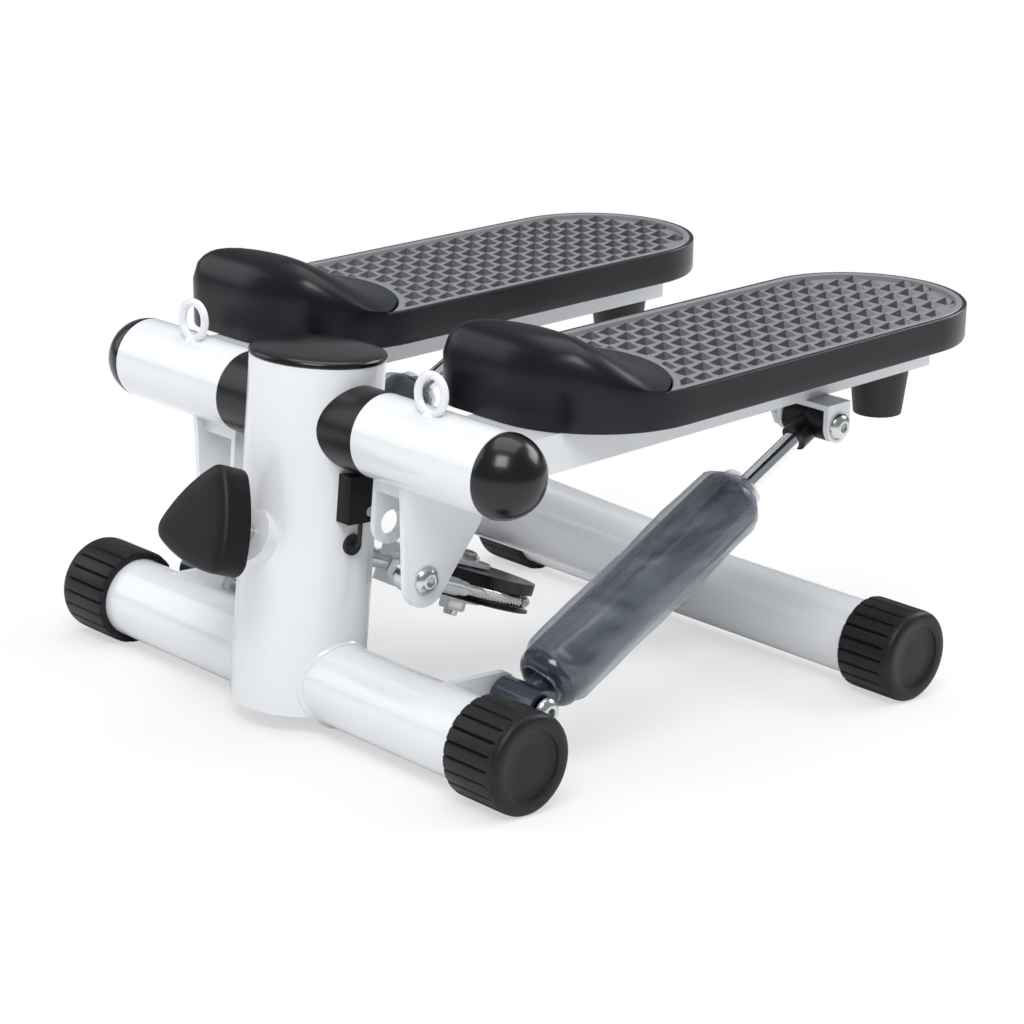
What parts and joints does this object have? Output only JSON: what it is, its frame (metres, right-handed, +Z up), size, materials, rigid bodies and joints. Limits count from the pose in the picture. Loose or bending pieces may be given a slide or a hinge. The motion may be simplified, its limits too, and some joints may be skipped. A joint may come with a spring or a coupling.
{
  "type": "mini stepper",
  "caption": "Compact stair stepper: side-by-side foot pedals hinged on a cross shaft, damped from below and tied by a steel cable round a pulley so one rises as the other sinks.",
  "frame": {"origin": "centre of the whole box's footprint, on the floor", "axes": "+X towards the user's right pedal, +Y from the post and knob to the pedals' heels, +Z up"},
  "size_m": [0.346, 0.4387, 0.2218],
  "materials": {
    "white_gloss_paint": "gloss",
    "black_gloss_plastic": "gloss",
    "black_matte_plastic": "matte",
    "dark_grey_plastic": "fine-grained matte",
    "grey_tread_plastic": "matte, raised pyramids",
    "black_rubber": "matte",
    "zinc_steel": "bright zinc plated",
    "chrome_rod": "polished",
    "slate_paint": "gloss",
    "bare_steel": "ground",
    "steel_cable": "stranded",
    "nylon": "satin"
  },
  "bodies": {
    "frame": {"front_bar": "white_gloss_paint", "rear_bar": "white_gloss_paint", "post": "white_gloss_paint", "post_cap": "black_gloss_plastic", "spine_tube": "white_gloss_paint", "foot_cap_front_left": "black_matte_plastic", "foot_cap_front_right": "black_matte_plastic", "foot_cap_rear_left": "black_matte_plastic", "foot_cap_rear_right": "black_matte_plastic", "pivot_shaft": "bare_steel", "shaft_end_screws": "zinc_steel", "saddle_collars": "black_gloss_plastic", "sensor_block": "black_matte_plastic", "sensor_screw": "zinc_steel", "sensor_wire": "black_rubber", "wire_grommet": "black_rubber", "damper_lugs": "white_gloss_paint", "lower_pivot_bolts": "zinc_steel"},
    "pedal_right_unit": {"sleeve_right": "white_gloss_paint", "sleeve_bushes_right": "nylon", "ball_cap_right": "black_gloss_plastic", "eyebolt_right": "white_gloss_paint", "pedal_arm_right": "white_gloss_paint", "pedal_tray_right": "black_gloss_plastic", "tread_right": "grey_tread_plastic", "lever_bracket_right": "white_gloss_paint", "lever_bolt_right": "zinc_steel", "damper_clevis_right": "white_gloss_paint", "clevis_bolt_right": "zinc_steel", "bumper_right": "black_rubber"},
    "rod_right_unit": {"damper_rod_right": "chrome_rod", "rod_end_right": "black_matte_plastic"},
    "damper_right_unit": {"damper_cylinder_right": "slate_paint", "damper_gland_right": "bare_steel"},
    "cable_right_unit": {"ferrule_right": "zinc_steel", "cable_right": "steel_cable"},
    "pedal_left_unit": {"sleeve_left": "white_gloss_paint", "sleeve_bushes_left": "nylon", "ball_cap_left": "black_gloss_plastic", "eyebolt_left": "white_gloss_paint", "pedal_arm_left": "white_gloss_paint", "pedal_tray_left": "black_gloss_plastic", "tread_left": "grey_tread_plastic", "lever_bracket_left": "white_gloss_paint", "lever_bolt_left": "zinc_steel", "damper_clevis_left": "white_gloss_paint", "clevis_bolt_left": "zinc_steel", "bumper_left": "black_rubber"},
    "rod_left_unit": {"damper_rod_left": "chrome_rod", "rod_end_left": "black_matte_plastic"},
    "damper_left_unit": {"damper_cylinder_left": "slate_paint", "damper_gland_left": "bare_steel"},
    "cable_left_unit": {"ferrule_left": "zinc_steel", "cable_left": "steel_cable"},
    "carriage": {"pulley_fork": "white_gloss_paint", "pulley_bolt": "zinc_steel"},
    "wheel": {"pulley": "black_matte_plastic", "cable_wrap": "steel_cable"},
    "knob_unit": {"knob": "dark_grey_plastic", "adjuster_screw": "zinc_steel"}
  },
  "joints": [
    {"name": "pedal_right", "type": "hinge", "parent": "frame", "child": "pedal_right_unit", "pos_m": [0, -0.1398, 0.16], "axis": [1, 0, 0], "range_deg": [-13, 13]},
    {"name": "rod_pivot_right", "type": "hinge", "parent": "pedal_right_unit", "child": "rod_right_unit", "pos_m": [0.125, 0.10187, 0.15894], "axis": [1, 0, 0], "range_deg": [-2, 2]},
    {"name": "damper_slide_right", "type": "slide", "parent": "rod_right_unit", "child": "damper_right_unit", "axis": [0, -0.8559, -0.5171], "range_m": [-0.029, 0.029]},
    {"name": "cable_pivot_right", "type": "hinge", "parent": "pedal_right_unit", "child": "cable_right_unit", "pos_m": [0.073, -0.1318, 0.0925], "axis": [1, 0, 0], "range_deg": [-16.5, 16.5], "deforming": ["cable_right"]},
    {"name": "pedal_left", "type": "hinge", "parent": "frame", "child": "pedal_left_unit", "pos_m": [0, -0.1398, 0.16], "axis": [1, 0, 0], "range_deg": [-13, 13]},
    {"name": "rod_pivot_left", "type": "hinge", "parent": "pedal_left_unit", "child": "rod_left_unit", "pos_m": [-0.125, 0.10187, 0.15894], "axis": [1, 0, 0], "range_deg": [-2, 2]},
    {"name": "damper_slide_left", "type": "slide", "parent": "rod_left_unit", "child": "damper_left_unit", "axis": [0, -0.8559, -0.5171], "range_m": [-0.029, 0.029]},
    {"name": "cable_pivot_left", "type": "hinge", "parent": "pedal_left_unit", "child": "cable_left_unit", "pos_m": [-0.073, -0.1318, 0.0925], "axis": [1, 0, 0], "range_deg": [-16.5, 16.5], "deforming": ["cable_left"]},
    {"name": "fork_slide", "type": "slide", "parent": "frame", "child": "carriage", "axis": [0, -0.9558, 0.294], "range_m": [0, 0.005]},
    {"name": "pulley_spin", "type": "hinge", "parent": "carriage", "child": "wheel", "pos_m": [0, -0.0288, 0.0568], "axis": [0, 0.294, 0.9558], "range_deg": [-22, 22], "deforming": ["cable_wrap"]},
    {"name": "knob_turn", "type": "hinge", "parent": "frame", "child": "knob_unit", "pos_m": [0, -0.0288, 0.0568], "axis": [0, 0.9558, -0.294], "range_deg": [0, 1440]}
  ],
  "couplings": [
    {"joint": "pedal_left", "follows": "pedal_right", "ratio": -1},
    {"joint": "rod_pivot_right", "follows": "pedal_right", "ratio": -0.1284},
    {"joint": "damper_slide_right", "follows": "pedal_right", "m_per_rad": 0.1255},
    {"joint": "cable_pivot_right", "follows": "pedal_right", "ratio": -1.2272},
    {"joint": "rod_pivot_left", "follows": "pedal_right", "ratio": 0.1284},
    {"joint": "damper_slide_left", "follows": "pedal_right", "m_per_rad": -0.1255},
    {"joint": "cable_pivot_left", "follows": "pedal_right", "ratio": 1.2272},
    {"joint": "pulley_spin", "follows": "pedal_right", "ratio": 1.6422},
    {"joint": "fork_slide", "follows": "knob_turn", "m_per_rad": 0.00019894}
  ]
}
